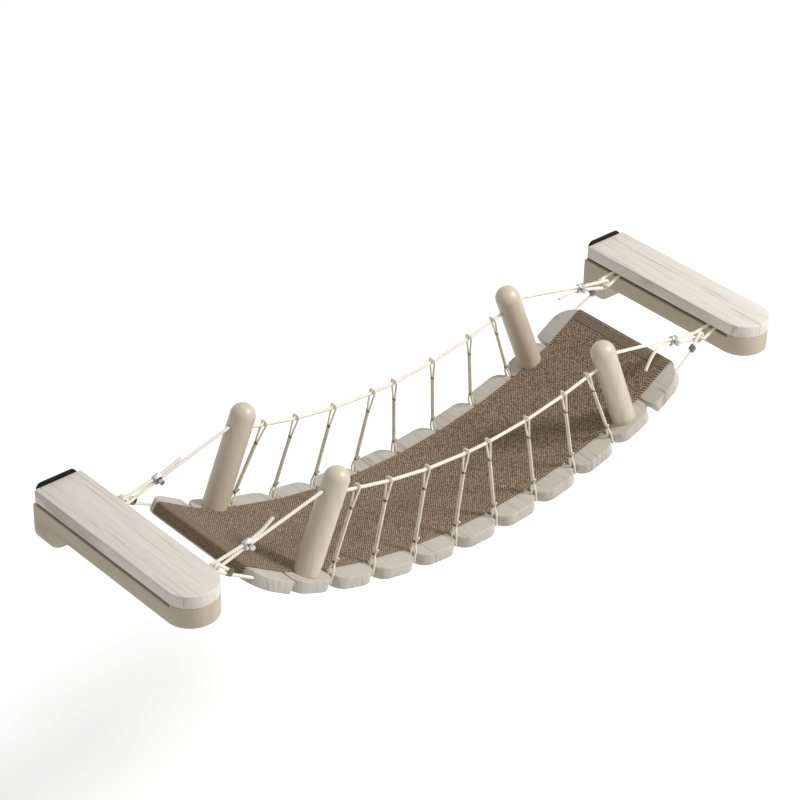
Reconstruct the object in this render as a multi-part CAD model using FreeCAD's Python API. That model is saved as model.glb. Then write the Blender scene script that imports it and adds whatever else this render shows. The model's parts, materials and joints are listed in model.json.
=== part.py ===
import FreeCAD, Part
import math
import os
from FreeCAD import Vector

# Wall mounted rope bridge: two wooden wall arms with steel brackets,
# eleven planks strung on two ropes between them, four posts, two handrail
# ropes with hangers, and a woven mat over the planks. Millimetres.
# Origin: centre of the wall screw pattern, on the wall plane y = 0.
# +Z is up, +X runs along the wall, the arms reach out towards -Y.

# ---- arms ----
board_width = 70.0            # width of each arm
arm_depth = 307.0             # reach from the wall to the rounded front
board_thickness = 18.0        # top board
body_thickness = 23.0         # lower body under the kerf
kerf_height = 5.0             # slot between top board and lower body
kerf_nose = 31.0              # solid wood in front of the kerf
board_top = 30.0              # top board's upper face above the origin
foot_depth = 26.0             # deeper block against the wall
foot_height = 62.0            # from the kerf's floor down to the foot's bottom
foot_corner = 26.0            # rounded lower corners of the foot
edge_ease = 1.2               # softened edges of the wood
# ---- steel brackets ----
plate_thickness = 4.0
plate_width = 60.0
plate_rise = 4.0              # upright leg above the top board
plate_corner = 8.0
plate_nose_gap = 6.0          # leg's end to the end of the kerf
foot_floor = 8.0              # wood left under the bracket's lower leg
wood_gap = 0.3                # play between steel and wood
screw_row = 44.0              # height between the two wall screws of a bracket
wall_hole_d = 5.5
head_pocket_d = 13.0
head_pocket_depth = 4.0
notch_half = 11.0             # cut-outs that let the bracket loops in
notch_depth = 16.0
# ---- screws that join the boards and hold the bracket loops ----
board_screw_d = 4.0
board_screw_head_d = 8.0
board_screw_head_h = 3.0
board_screw_bite = 12.0       # depth in the top board
board_screw_inset = 9.5       # from the arm's inner face
pilot_gap = 0.1
# ---- ropes ----
deck_rope_d = 4.6
rail_rope_d = 4.6
loop_rope_d = 4.2
hanger_d = 2.8
touch_gap = 0.6               # between cords that wrap round each other
loop_reach = 24.0             # arm's inner face to the hanging point
loop_drop = 5.5               # hanging point below the kerf's middle
loop_spread = 9.4             # half width of a bracket loop at its free end
eye_shift = 2.85              # deck eye and rail eye side by side on a loop
eye_gap = 1.35                # play of an eye round the bracket loop
rope_sides = 8                # facets round a rope
hanger_sides = 6
screw_sides = 12              # flats round a hidden screw
chord_turn = 45.0             # a rope's bend has one facet for each such turn
hanger_turn = 90.0            # and a hanger's
strand_gap = 0.5              # between two strands that lie side by side
full_round = 0.97             # share of the half width that a round end takes
loop_bend = 0.73              # radius of the loop's free end, as a share of its half width
loop_mouth = 0.4              # loop's widening at the kerf's mouth, as a share
# ---- deck ----
plank_count = 11
plank_pitch = 72.0            # along the ropes
plank_gap = 5.0
plank_length = 232.0
plank_thickness = 17.0
plank_corner = 14.0
end_plank_corner = 34.0
end_plank_inner_corner = 5.0
rope_hole_inset = 16.0        # rope hole to the plank's end
rope_hole_gap = 0.7
rope_end = 50.0               # hanging point to the first plank
rope_end_angle = 35.0
plank_tilt = (0.0, 5.2, 10.3, 15.5, 22.0, 32.0)   # from the middle outwards
ferrule_at = 19.0             # on the deck rope, from the hanging point
ferrule_length = 8.0
ferrule_wall = 1.0
# ---- posts and handrails ----
post_plank = 2                # second plank from each end
post_d = 34.0
post_height = 146.0
post_sides = 24               # flats round a post
dome_rings = 3                # steps of its round top
dome_flat = 0.25              # radius left flat at the very top, as a share
post_inset = 24.0             # post's axis to the plank's end
post_hole_drop = 34.0         # handrail hole under the post's top
post_hole_gap = 0.8
post_mouth_stand = 1.0        # straight rope outside a post's hole
rail_low = -4.0               # handrail's lowest height
rail_curve = 7.0e-4           # and its rise with the square of x
hanger_top_x = (-196.0, -143.0, -79.0, -12.0, 26.0, 94.0, 160.0, 204.0)
hanger_bend = 13.0            # above the rope, where a hanger leaves the gap
lower_crimp = 25.0            # above the rope
hanger_flare = 1.15           # an upper loop's widening over the handrail
upper_crimp = 0.76            # share of the way from deck rope to handrail
crimp_d = 6.6
crimp_length = 5.0
# ---- cord clamps ----
clamp_at = 50.0               # along the rail rope from the hanging point
clamp_length = 10.0
clamp_wall = 1.6
clamp_gap = 0.45              # play of the rope's strands in a clamp
thumb_d = 4.0
thumb_gap = 0.3
thumb_neck = 3.2
thumb_head_d = 7.4
thumb_head_h = 4.2
thumb_ribs = 8                # grip ribs round the head
thumb_rib_depth = 0.5
# ---- mat ----
mat_width = 176.0
mat_thickness = 3.0
mat_gap = 0.35
mat_wrap = 15.0               # turned down over the end planks
mat_post_gap = 0.6            # cut-out round a post
mat_fold = 0.3                # inside radius of the turned ends
# ---- free rope tails ----
tail_length = {(-1, -1): 40.0, (-1, 1): 34.0, (1, -1): 60.0, (1, 1): 34.0}   # (side, row)
tail_turns = {(-1, -1): (5, 16, 24), (-1, 1): (2, 7), (1, -1): (5, 45, 80), (1, 1): (5, 28)}
tail_gap = 0.6                # between the doubled rope's end and its free tail

# ---- derived sizes ----
kerf_top = board_top - board_thickness
kerf_floor = kerf_top - kerf_height
kerf_mid = (kerf_top + kerf_floor) / 2
body_bottom = kerf_floor - body_thickness
foot_bottom = kerf_floor - foot_height
kerf_end = -(arm_depth - kerf_nose)
deck_y = -arm_depth / 2
hole_half = plank_length / 2 - rope_hole_inset
rail_half = plank_length / 2 - post_inset
hang_z = kerf_mid - loop_drop
strand = (rail_rope_d + strand_gap) / 2
eye_r = (loop_rope_d + rail_rope_d) / 2 + eye_gap
Y = Vector(0, 1, 0)


def tilt_of(j):
    """Slope of plank j (1..11) about Y in degrees, positive where it falls to +X."""
    middle = (plank_count + 1) // 2
    side = 1 if j < middle else -1
    return side * plank_tilt[min(abs(j - middle), len(plank_tilt) - 1)]


def knots():
    """Points where the deck ropes bend: plank 1's outer end, the gaps, plank 11's outer end."""
    xs, zs = [0.0], [0.0]
    for j in range(1, plank_count + 1):
        a = math.radians(tilt_of(j))
        xs.append(xs[-1] + plank_pitch * math.cos(a))
        zs.append(zs[-1] - plank_pitch * math.sin(a))
    drop = rope_end * math.sin(math.radians(rope_end_angle))
    return [Vector(x - xs[-1] / 2, 0, hang_z - drop + z) for x, z in zip(xs, zs)]


KNOTS = knots()
hang_x = KNOTS[-1].x + rope_end * math.cos(math.radians(rope_end_angle))
inner_face = hang_x + loop_reach
arm_x = inner_face + board_width / 2


def at_y(p, y):
    return Vector(p.x, y, p.z)


def on_plank(shape, j):
    """Moves a shape from plank axes (x across the plank, z up, origin in its middle) to plank j."""
    middle = (KNOTS[j - 1] + KNOTS[j]) * 0.5
    turn = FreeCAD.Rotation(Y, tilt_of(j))
    shape.Placement = FreeCAD.Placement(at_y(middle, deck_y), turn)
    return shape


def plank_point(j, p):
    """A point given in plank j's axes, in the object's frame."""
    middle = (KNOTS[j - 1] + KNOTS[j]) * 0.5
    turn = FreeCAD.Rotation(Y, tilt_of(j))
    return at_y(middle, deck_y) + turn.multVec(p)


def rod(d, base, along, length):
    return Part.makeCylinder(d / 2, length, base, along)


def box(x0, x1, y0, y1, z0, z1):
    return Part.makeBox(x1 - x0, y1 - y0, z1 - z0, Vector(x0, y0, z0))


def prism(points, radii, along):
    """Solid from a flat outline with rounded corners."""
    return Part.Face(rounded_wire(points, radii, True)).extrude(along)


def ring_of(r, centre, along, sides):
    """Closed outline with flat sides round an axis, its corners at radius r."""
    way = Vector(along).normalize()
    u = (Y - way * Y.dot(way)) if abs(Y.dot(way)) < 0.9 else Vector(1, 0, 0)
    u.normalize()
    v = way.cross(u)
    turns = [2 * math.pi * k / sides for k in range(sides)] + [0]
    return Part.makePolygon([centre + u * (r * math.cos(t)) + v * (r * math.sin(t))
                             for t in turns])


def flat_rod(d, base, along, length, sides):
    """Rod with flat sides that fits inside diameter d."""
    ring = ring_of(d / 2, base, along, sides)
    return Part.Face(ring).extrude(Vector(along).normalize() * length)


def flat_hole(d, base, along, length):
    """Cutter with flat sides that clears diameter d."""
    return flat_rod(d / math.cos(math.pi / rope_sides), base, along, length, rope_sides)


def oval_points(c, n, s, hx, hy):
    """Eight corners of an oval: half length hx along n, half width hy along s."""
    cut = hy * (2 - math.sqrt(2))
    pts = []
    for a, b in ((1, 1), (-1, 1), (-1, -1), (1, -1)):
        near = c + n * (a * (hx - cut)) + s * (b * hy)
        far = c + n * (a * hx) + s * (b * (hy - cut))
        pts += [far, near] if a * b > 0 else [near, far]
    return pts


def corner(before, p, after, r):
    """Tangent points and middle of the arc of radius r at p, or None where p stays sharp."""
    a = (before - p).normalize()
    b = (after - p).normalize()
    half = a.getAngle(b) / 2
    if r <= 0 or half > math.radians(89.9):
        return None
    reach = r / math.tan(half)
    way = (a + b).normalize()
    middle = p + way * (r / math.sin(half) - r)
    return p + a * reach, middle, p + b * reach


def rounded_wire(points, radii, closed=False):
    """Straight runs joined by tangent arcs."""
    n = len(points)
    edges, starts, ends = [], {}, {}
    inner = range(n) if closed else range(1, n - 1)
    for i in inner:
        c = corner(points[i - 1], points[i], points[(i + 1) % n], radii[i])
        if c:
            ends[i], starts[i] = c[0], c[2]
            edges.append((i, Part.Arc(*c).toShape()))
    arcs = dict(edges)
    chain = []
    for i in range(n if closed else n - 1):
        k = (i + 1) % n
        a, b = starts.get(i, points[i]), ends.get(k, points[k])
        if a.distanceToPoint(b) > 1e-6:
            chain.append(Part.LineSegment(a, b).toShape())
        if k in arcs:
            chain.append(arcs[k])
    return Part.Wire(chain)


def bent_path(points, radii, closed=False, step=chord_turn):
    """The route with each bend as chords that touch its arc from outside."""
    last = len(points) - 1
    path = []
    for i, p in enumerate(points):
        if not closed and i in (0, last):
            path.append(p)
            continue
        a = (p - points[i - 1]).normalize()
        b = (points[(i + 1) % (last + 1)] - p).normalize()
        turn = a.getAngle(b)
        chords = max(1, round(turn / math.radians(step)))
        if chords == 1 or radii[i] <= 0:
            path.append(p)
            continue
        axis = a.cross(b).normalize()
        centre = p - a * (radii[i] * math.tan(turn / 2)) + axis.cross(a) * radii[i]
        spoke = axis.cross(a) * (-radii[i] / math.cos(turn / 2 / chords))
        for k in range(chords):
            way = FreeCAD.Rotation(axis, math.degrees(turn) * (k + 0.5) / chords)
            path.append(centre + way.multVec(spoke))
    return path


def rope_radius(d, sides):
    """Corner radius of a flat-sided cord with a round cord's area."""
    return d / 2 * math.sqrt(math.pi / (sides / 2 * math.sin(2 * math.pi / sides)))


def cord(points, radii, d, sides=rope_sides, closed=False, step=chord_turn):
    """Faceted cord of a round cord's area, mitred at each bend."""
    path = bent_path(points, radii, closed, step)
    if closed:
        start = (path[0] + path[1]) * 0.5
        path = [start] + path[1:] + [path[0], start]
    section = ring_of(rope_radius(d, sides), path[0], path[1] - path[0], sides)
    mitred = 1
    return Part.makePolygon(path).makePipeShell([section], True, False, mitred)


def tube(points, radii, d):
    """Flat-sided cord of a round cord's area along straight runs and tangent arcs."""
    section = ring_of(rope_radius(d, rope_sides), points[0], points[1] - points[0], rope_sides)
    return rounded_wire(points, radii).makePipeShell([section], True, False)


# ---- arms ----
def arm_outline(side, depth, z, rear=0.0):
    """Plan of an arm: straight sides and a half round front."""
    x = side * arm_x
    r = board_width / 2
    far = -(depth - r)
    left = Part.LineSegment(Vector(x - r, rear, z), Vector(x - r, far, z))
    nose = Part.Arc(Vector(x - r, far, z), Vector(x, -depth, z), Vector(x + r, far, z))
    right = Part.LineSegment(Vector(x + r, far, z), Vector(x + r, rear, z))
    back = Part.LineSegment(Vector(x + r, rear, z), Vector(x - r, rear, z))
    return Part.Face(Part.Wire([e.toShape() for e in (left, nose, right, back)]))


def board_screw_places(side):
    """Axes of the two screws that join an arm's boards, one per bracket loop."""
    x = side * (inner_face + board_screw_inset)
    return [Vector(x, deck_y + s * rail_half, 0) for s in (-1, 1)]


def wall_screw_places(side):
    return [Vector(side * arm_x, 0, s * screw_row / 2) for s in (-1, 1)]


def ease_top(shape, z):
    """Softens the edges that lie in the face at height z."""
    rim = [e for e in shape.Edges if all(abs(v.Z - z) < 1e-6 for v in e.Vertexes)]
    return shape.makeChamfer(edge_ease, rim)


def top_board(side):
    rear = -(plate_thickness + wood_gap)
    board = arm_outline(side, arm_depth, kerf_top, rear)
    board = ease_top(board.extrude(Vector(0, 0, board_thickness)), board_top)
    for p in wall_screw_places(side):
        if kerf_top < p.z < board_top:
            pocket = rod(head_pocket_d, at_y(p, rear + 1), Y * -1, head_pocket_depth + 1)
            board = board.cut(pocket)
    for p in board_screw_places(side):
        base = Vector(p.x, p.y, kerf_top - 1)
        hole = rod(board_screw_d + 2 * pilot_gap, base, Vector(0, 0, 1),
                   board_screw_bite + pilot_gap + 1)
        board = board.cut(hole)
    return board


def lower_body(side):
    """Wood under the kerf, with the deeper foot against the wall and the bracket's pocket."""
    low = arm_outline(side, arm_depth, body_bottom)
    body = low.extrude(Vector(0, 0, kerf_top - body_bottom))
    x0, x1 = side * arm_x - board_width / 2, side * arm_x + board_width / 2
    body = body.cut(box(x0 - 1, x1 + 1, kerf_end, 1, kerf_floor, kerf_top + 1))
    corners = [Vector(x0, 0, kerf_floor), Vector(x0, 0, foot_bottom),
               Vector(x1, 0, foot_bottom), Vector(x1, 0, kerf_floor)]
    foot = prism(corners, [0, foot_corner, foot_corner, 0], Vector(0, -foot_depth, 0))
    body = body.fuse(foot).removeSplitter()
    half = plate_width / 2 + wood_gap
    x = side * arm_x
    slot = box(x - half, x + half, -(plate_thickness + wood_gap), 1,
               foot_bottom + foot_floor, kerf_floor + 1)
    body = body.cut(slot)
    for p in wall_screw_places(side):
        if p.z < kerf_floor:
            body = body.cut(rod(head_pocket_d, p, Y * -1,
                                plate_thickness + wood_gap + head_pocket_depth))
    for p in board_screw_places(side):
        base = Vector(p.x, p.y, body_bottom - 1)
        body = body.cut(rod(board_screw_d + 2 * pilot_gap, base, Vector(0, 0, 1),
                            body_thickness + 2))
        sink = rod(board_screw_head_d + 2 * pilot_gap, base, Vector(0, 0, 1),
                   board_screw_head_h + pilot_gap + 1)
        body = body.cut(sink)
    return body


def bracket(side):
    """Steel tee: an upright plate on the wall and a long leg in the kerf."""
    x, half = side * arm_x, plate_width / 2
    top, bottom = board_top + plate_rise, foot_bottom + foot_floor + wood_gap
    corners = [Vector(x - half, 0, bottom), Vector(x - half, 0, top),
               Vector(x + half, 0, top), Vector(x + half, 0, bottom)]
    radii = [plate_corner / 2, plate_corner, plate_corner, plate_corner / 2]
    plate = prism(corners, radii, Vector(0, -plate_thickness, 0))
    z0 = kerf_mid - plate_thickness / 2
    end = kerf_end + plate_nose_gap
    flat = [Vector(x - half, -plate_thickness / 2, z0), Vector(x - half, end, z0),
            Vector(x + half, end, z0), Vector(x + half, -plate_thickness / 2, z0)]
    leg = prism(flat, [0, plate_corner, plate_corner, 0], Vector(0, 0, plate_thickness))
    for p in board_screw_places(side):
        inner, deep = side * (arm_x - half - 1), side * (arm_x - half + notch_depth)
        a, b = min(inner, deep), max(inner, deep)
        leg = leg.cut(box(a, b, p.y - notch_half, p.y + notch_half,
                          z0 - 1, z0 + plate_thickness + 1))
    steel = plate.fuse(leg).removeSplitter()
    for p in wall_screw_places(side):
        steel = steel.cut(rod(wall_hole_d, at_y(p, 1), Y * -1, plate_thickness + 2))
    return steel


def board_screws(side):
    """Two screws from below: countersunk head, shank through the kerf, bite in the top board."""
    made = []
    for p in board_screw_places(side):
        base = Vector(p.x, p.y, body_bottom)
        up = Vector(0, 0, 1)
        head = flat_rod(board_screw_head_d, base, up, board_screw_head_h, screw_sides)
        length = kerf_top + board_screw_bite - body_bottom
        shank = flat_rod(board_screw_d, base, up, length, screw_sides)
        made.append(head.fuse(shank).removeSplitter())
    return Part.makeCompound(made)


def bracket_loop(side, row):
    """Closed loop of rope round a board screw, out of the kerf to the hanging point."""
    y = deck_y + row * rail_half
    near = (board_screw_d + loop_rope_d) / 2 + touch_gap
    back = side * (inner_face + board_screw_inset + near)
    mouth = side * (inner_face - 1)
    tip = side * hang_x
    wide = near + (loop_spread - near) * loop_mouth
    pts = [Vector(back, y - near, kerf_mid), Vector(back, y + near, kerf_mid),
           Vector(mouth, y + wide, kerf_mid), Vector(tip, y + loop_spread, hang_z),
           Vector(tip, y - loop_spread, hang_z), Vector(mouth, y - wide, kerf_mid)]
    tight, free = near * full_round, loop_spread * loop_bend
    return cord(pts, [tight, tight, 0, free, free, 0], loop_rope_d, closed=True)


# ---- deck ----
def plank(j):
    """Plank across the bridge with rounded ends and its two rope holes."""
    w = (plank_pitch - plank_gap) / 2
    h = plank_length / 2
    t = plank_thickness / 2
    left = end_plank_corner if j == 1 else plank_corner
    right = end_plank_corner if j == plank_count else plank_corner
    if j == 1:
        right = end_plank_inner_corner
    if j == plank_count:
        left = end_plank_inner_corner
    pts = [Vector(-w, -h, -t), Vector(w, -h, -t), Vector(w, h, -t), Vector(-w, h, -t)]
    wood = prism(pts, [left, right, right, left], Vector(0, 0, plank_thickness))
    for s in (-1, 1):
        hole = flat_hole(deck_rope_d + 2 * rope_hole_gap, Vector(-w - 1, s * hole_half, 0),
                         Vector(1, 0, 0), 2 * w + 2)
        wood = wood.cut(hole)
    return on_plank(wood, j)


def hang_point(side, row, shift):
    """Centre of the bracket loop's free end, moved sideways along it."""
    return Vector(side * hang_x, deck_y + row * (rail_half + shift), hang_z)


def up_normal(e):
    n = e.cross(Y).normalize()
    return n if n.z > 0 else n * -1


def eye_points(side, row, shift, toward, stand, half_gap, over=1):
    """Rope doubled round a bracket loop: from the tail's end round the eye to the standing part.
    The tail lies over the standing part, or under it where over is -1."""
    o = hang_point(side, row, shift)
    e = (toward - o).normalize()
    n = up_normal(e) * over
    tail, last = stand
    pts = [o + e * tail + n * half_gap, o + e * (tail - last) + n * half_gap,
           o - e * eye_r + n * eye_r, o - e * eye_r - n * eye_r,
           o + e * (tail - last) - n * half_gap, o + e * tail - n * half_gap]
    bend = eye_r * full_round
    return pts, [0, 0, bend, bend, 0, 0]


def deck_ends(row):
    ends = []
    for side, k in ((-1, KNOTS[0]), (1, KNOTS[-1])):
        toward = at_y(k, deck_y + row * hole_half)
        stand = (ferrule_at + ferrule_length / 2, ferrule_length)
        ends.append(eye_points(side, row, eye_shift, toward, stand, strand))
    return ends


def deck_rope(row):
    """Rope from eye to eye, straight through each plank, with a crimped ferrule at each eye."""
    (left, lr), (right, rr) = deck_ends(row)
    y = deck_y + row * hole_half
    middle = [at_y(k, y) for k in KNOTS]
    pts = left + middle + right[::-1]
    rope = cord(pts, lr + [0] * len(middle) + rr[::-1], deck_rope_d)
    for end in (left, right):
        a, b = end[1], end[4]
        rope = rope.fuse(ferrule(a, b, end[0] - end[1]))
    return rope.removeSplitter()


def ferrule(a, b, along):
    """Flat oval sleeve pressed round two strands."""
    c = (a + b) * 0.5
    n = (a - b).normalize()
    s = along.normalize().cross(n)
    hx = a.distanceToPoint(b) / 2 + deck_rope_d / 2 + ferrule_wall
    hy = deck_rope_d / 2 + ferrule_wall
    return prism(oval_points(c, n, s, hx, hy), [0] * 8, along * (ferrule_length / along.Length))


# ---- posts ----
def post(side, row):
    """Turned post with a round top and the handrail's hole, square to its plank."""
    r = post_d / 2
    y = row * rail_half
    z0 = plank_thickness / 2
    shoulder = z0 + post_height - r
    up = Vector(0, 0, 1)
    levels = [(r, z0), (r, shoulder)]
    for i in range(1, dome_rings + 1):
        t = math.pi / 2 * i / (dome_rings + 1)
        levels.append((r * math.cos(t), shoulder + r * math.sin(t)))
    levels.append((r * dome_flat, z0 + post_height))
    rings = [ring_of(a, Vector(0, y, z), up, post_sides) for a, z in levels]
    turned = Part.makeLoft(rings, True, True)
    hole = flat_hole(rail_rope_d + 2 * post_hole_gap,
                     Vector(-r - 2, y, z0 + post_height - post_hole_drop),
                     Vector(1, 0, 0), post_d + 4)
    return on_plank(turned.cut(hole), post_plank_number(side))


def post_plank_number(side):
    return post_plank if side < 0 else plank_count + 1 - post_plank


def post_mouths(side, row):
    """Where the handrail enters and leaves a post, from -X to +X."""
    z = plank_thickness / 2 + post_height - post_hole_drop
    r = post_d / 2 + post_mouth_stand
    j = post_plank_number(side)
    return [plank_point(j, Vector(s * r, row * rail_half, z)) for s in (-1, 1)]


# ---- handrails ----
def rail_point(x, row):
    return Vector(x, deck_y + row * rail_half, rail_low + rail_curve * x * x)


def rail_end(side, row):
    """The doubled part of a handrail rope, from its clamp round the bracket loop and back."""
    mouth = post_mouths(side, row)[0 if side < 0 else 1]
    stand = (clamp_at + clamp_length / 2, clamp_length)
    return eye_points(side, row, -eye_shift, mouth, stand, strand, -side)


def handrail(row):
    """Rope from clamp to clamp, through both posts and over the hangers' tops."""
    left, lr = rail_end(-1, row)
    right, rr = rail_end(1, row)
    over = [rail_point(x, row) for x in hanger_top_x]
    middle = post_mouths(-1, row) + over + post_mouths(1, row)
    pts = left + middle + right[::-1]
    return cord(pts, lr + [0] * len(middle) + rr[::-1], rail_rope_d)


def clamp_frame(side, row):
    """Centre, rope direction and upward direction of a cord clamp."""
    pts = rail_end(side, row)[0]
    c = (pts[0] + pts[1] + pts[4] + pts[5]) * 0.25
    e = (pts[0] - pts[1]).normalize()
    return c, e, (pts[0] - pts[5]).normalize()


def clamp(side, row):
    """Cord clamp: oval sleeve round the two strands, with a boss for its screw on the -Y side."""
    c, e, n = clamp_frame(side, row)
    s = e.cross(n)
    made = []
    for grow in (clamp_gap + clamp_wall, clamp_gap):
        hx = strand + rail_rope_d / 2 + grow
        hy = rail_rope_d / 2 + grow
        base = c - e * (clamp_length / 2)
        made.append(prism(oval_points(base, n, s, hx, hy), [0] * 8, e * clamp_length))
    sleeve = made[0].cut(made[1])
    start = c - Y * (rail_rope_d / 2 + clamp_gap)
    return sleeve.cut(rod(thumb_d + 2 * thumb_gap, start + Y, Y * -1, clamp_wall + 3))


def thumbscrew(side, row):
    """Screw with a neck and a ribbed head, pressing on the strands from the -Y side."""
    c, e, n = clamp_frame(side, row)
    tip = c - Y * (rail_rope_d / 2 + touch_gap)
    shank = clamp_wall + thumb_neck
    screw = rod(thumb_d, tip, Y * -1, shank)
    rim = []
    for i in range(4 * thumb_ribs):
        t = 2 * math.pi * (i + 0.5) / (4 * thumb_ribs)
        r = thumb_head_d / 2 - (thumb_rib_depth if i % 4 > 1 else 0)
        rim.append(tip - Y * shank + Vector(r * math.cos(t), 0, r * math.sin(t)))
    head = prism(rim, [0] * len(rim), Y * -thumb_head_h)
    return screw.fuse(head).removeSplitter()


def tail_points(side, row):
    """Free end of a handrail rope past its clamp: equal runs, each at its turn in degrees."""
    e, n = clamp_frame(side, row)[1:]
    start = rail_end(side, row)[0][0] + e * tail_gap
    turns = tail_turns[(side, row)]
    run = tail_length[(side, row)] / len(turns)
    pts = [start]
    for a in turns:
        a = math.radians(a)
        pts.append(pts[-1] + e * (run * math.cos(a)) + n * (run * math.sin(a)))
    return pts


def tail(side, row):
    pts = tail_points(side, row)
    radii = [0.0]
    for a, b, c in zip(pts, pts[1:], pts[2:]):
        turn = (b - a).getAngle(c - b)
        short = min(a.distanceToPoint(b), b.distanceToPoint(c))
        radii.append(0.45 * short / math.tan(turn / 2))
    radii.append(0.0)
    solid = tube(pts, radii, rail_rope_d)
    length = solid.Volume / (math.pi * rail_rope_d ** 2 / 4)
    print("tail", side, row, "radii", [round(r, 1) for r in radii[1:-1]],
          "length", round(length, 1))
    return solid


# ---- hangers ----
def hanger(k, row):
    """Cord looped round the deck rope in gap k and over the handrail, held by two crimps."""
    foot = at_y(KNOTS[k], deck_y + row * hole_half)
    top = rail_point(hanger_top_x[k - post_plank], row)
    lean = math.radians((tilt_of(k) + tilt_of(k + 1)) / 2)
    n = Vector(math.sin(lean), 0, math.cos(lean))
    under = (deck_rope_d + hanger_d) / 2 + touch_gap
    bend = foot + n * hanger_bend
    way = (top - bend).normalize()
    side = (Y - way * way.dot(Y)).normalize()
    span = top.distanceToPoint(bend)
    pair = (hanger_d + strand_gap) / 2
    low = bend + way * (lower_crimp - hanger_bend)
    high = bend + way * (span * upper_crimp)
    over = (rail_rope_d + hanger_d) / 2 + touch_gap
    half = [bend - side * under, foot - n * under - Y * under]
    back = [foot - n * under + Y * under, bend + side * under]
    up, down = low + way, low - way
    wide = over * hanger_flare
    ring = [high + side * pair, top + way * over + side * wide,
            top + way * over - side * wide, high - side * pair]
    pts = [up - side * pair, down - side * pair] + half + back + [down + side * pair] + ring
    pts.append(up + way - side * pair)
    bottom, crown = under * full_round, over * full_round
    radii = [0, 0, 0, bottom, bottom, 0, 0, 0, crown, crown, 0, 0]
    made = cord(pts, radii, hanger_d, hanger_sides, step=hanger_turn)
    for c in (low, high):
        made = made.fuse(crimp(c, way))
    return made.removeSplitter()


def crimp(c, way):
    """Short six-sided ring pressed round a hanger's two strands."""
    return flat_rod(crimp_d, c - way * (crimp_length / 2), way, crimp_length, hanger_sides)


# ---- mat ----
def cross(p, a, q, b):
    """Where two lines in the XZ plane meet, each given by a point and a direction."""
    d = a.x * b.z - a.z * b.x
    t = ((q.x - p.x) * b.z - (q.z - p.z) * b.x) / d
    return p + a * t


def deck_profile(gap):
    """Line over the planks, at a distance above them, turned down over both end planks."""
    w, t = (plank_pitch - plank_gap) / 2 + gap, plank_thickness / 2 + gap
    tops, ways = [], []
    for j in range(1, plank_count + 1):
        tops.append(plank_point(j, Vector(0, 0, t)))
        ways.append(plank_point(j, Vector(1, 0, t)) - tops[-1])
    first = plank_point(1, Vector(-w, 0, t))
    last = plank_point(plank_count, Vector(w, 0, t))
    low = plank_thickness / 2 - mat_wrap
    pts = [plank_point(1, Vector(-w, 0, low)), first]
    for i in range(plank_count - 1):
        pts.append(cross(tops[i], ways[i], tops[i + 1], ways[i + 1]))
    return pts + [last, plank_point(plank_count, Vector(w, 0, low))]


def mat():
    """Woven mat over the planks, cut round the posts."""
    inner = deck_profile(mat_gap)
    outer = deck_profile(mat_gap + mat_thickness)
    y = deck_y - mat_width / 2
    pts = [at_y(p, y) for p in inner] + [at_y(p, y) for p in outer[::-1]]
    n = len(inner)
    radii = [0.0] * len(pts)
    radii[n + 1] = radii[2 * n - 2] = mat_thickness
    radii[1] = radii[n - 2] = mat_fold
    cloth = prism(pts, radii, Vector(0, mat_width, 0))
    for side in (-1, 1):
        for row in (-1, 1):
            room = rod(post_d + 2 * mat_post_gap, Vector(0, row * rail_half, 0),
                       Vector(0, 0, 1), plank_thickness + 4 * mat_thickness)
            cloth = cloth.cut(on_plank(room, post_plank_number(side)))
    return cloth


def export(name, shape):
    if not shape.isValid():
        print("not valid:", name)
    shape.exportStep("parts/" + name + ".step")


def main():
    os.makedirs("parts", exist_ok=True)
    for side, name in ((-1, "left"), (1, "right")):
        export(name + "_top_board", top_board(side))
        export(name + "_lower_body", lower_body(side))
        export(name + "_bracket", bracket(side))
        export(name + "_board_screws", board_screws(side))
    for j in range(1, plank_count + 1):
        export("plank_%d" % j, plank(j))
    export("mat", mat())
    for row, where in ((-1, "front"), (1, "rear")):
        export("deck_rope_" + where, deck_rope(row))
        export("handrail_" + where, handrail(row))
        for side, name in ((-1, "left"), (1, "right")):
            place = name + "_" + where
            export("bracket_loop_" + place, bracket_loop(side, row))
            export("post_" + place, post(side, row))
            export("clamp_" + place, clamp(side, row))
            export("thumbscrew_" + place, thumbscrew(side, row))
            export("tail_" + place, tail(side, row))
        for k in range(post_plank, plank_count + 1 - post_plank):
            export("hanger_%s_%d" % (where, k), hanger(k, row))


if __name__ == "__main__":
    main()
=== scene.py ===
import json
import math
from functools import partial

import bmesh
import bpy
from mathutils import Matrix, Vector

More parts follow.
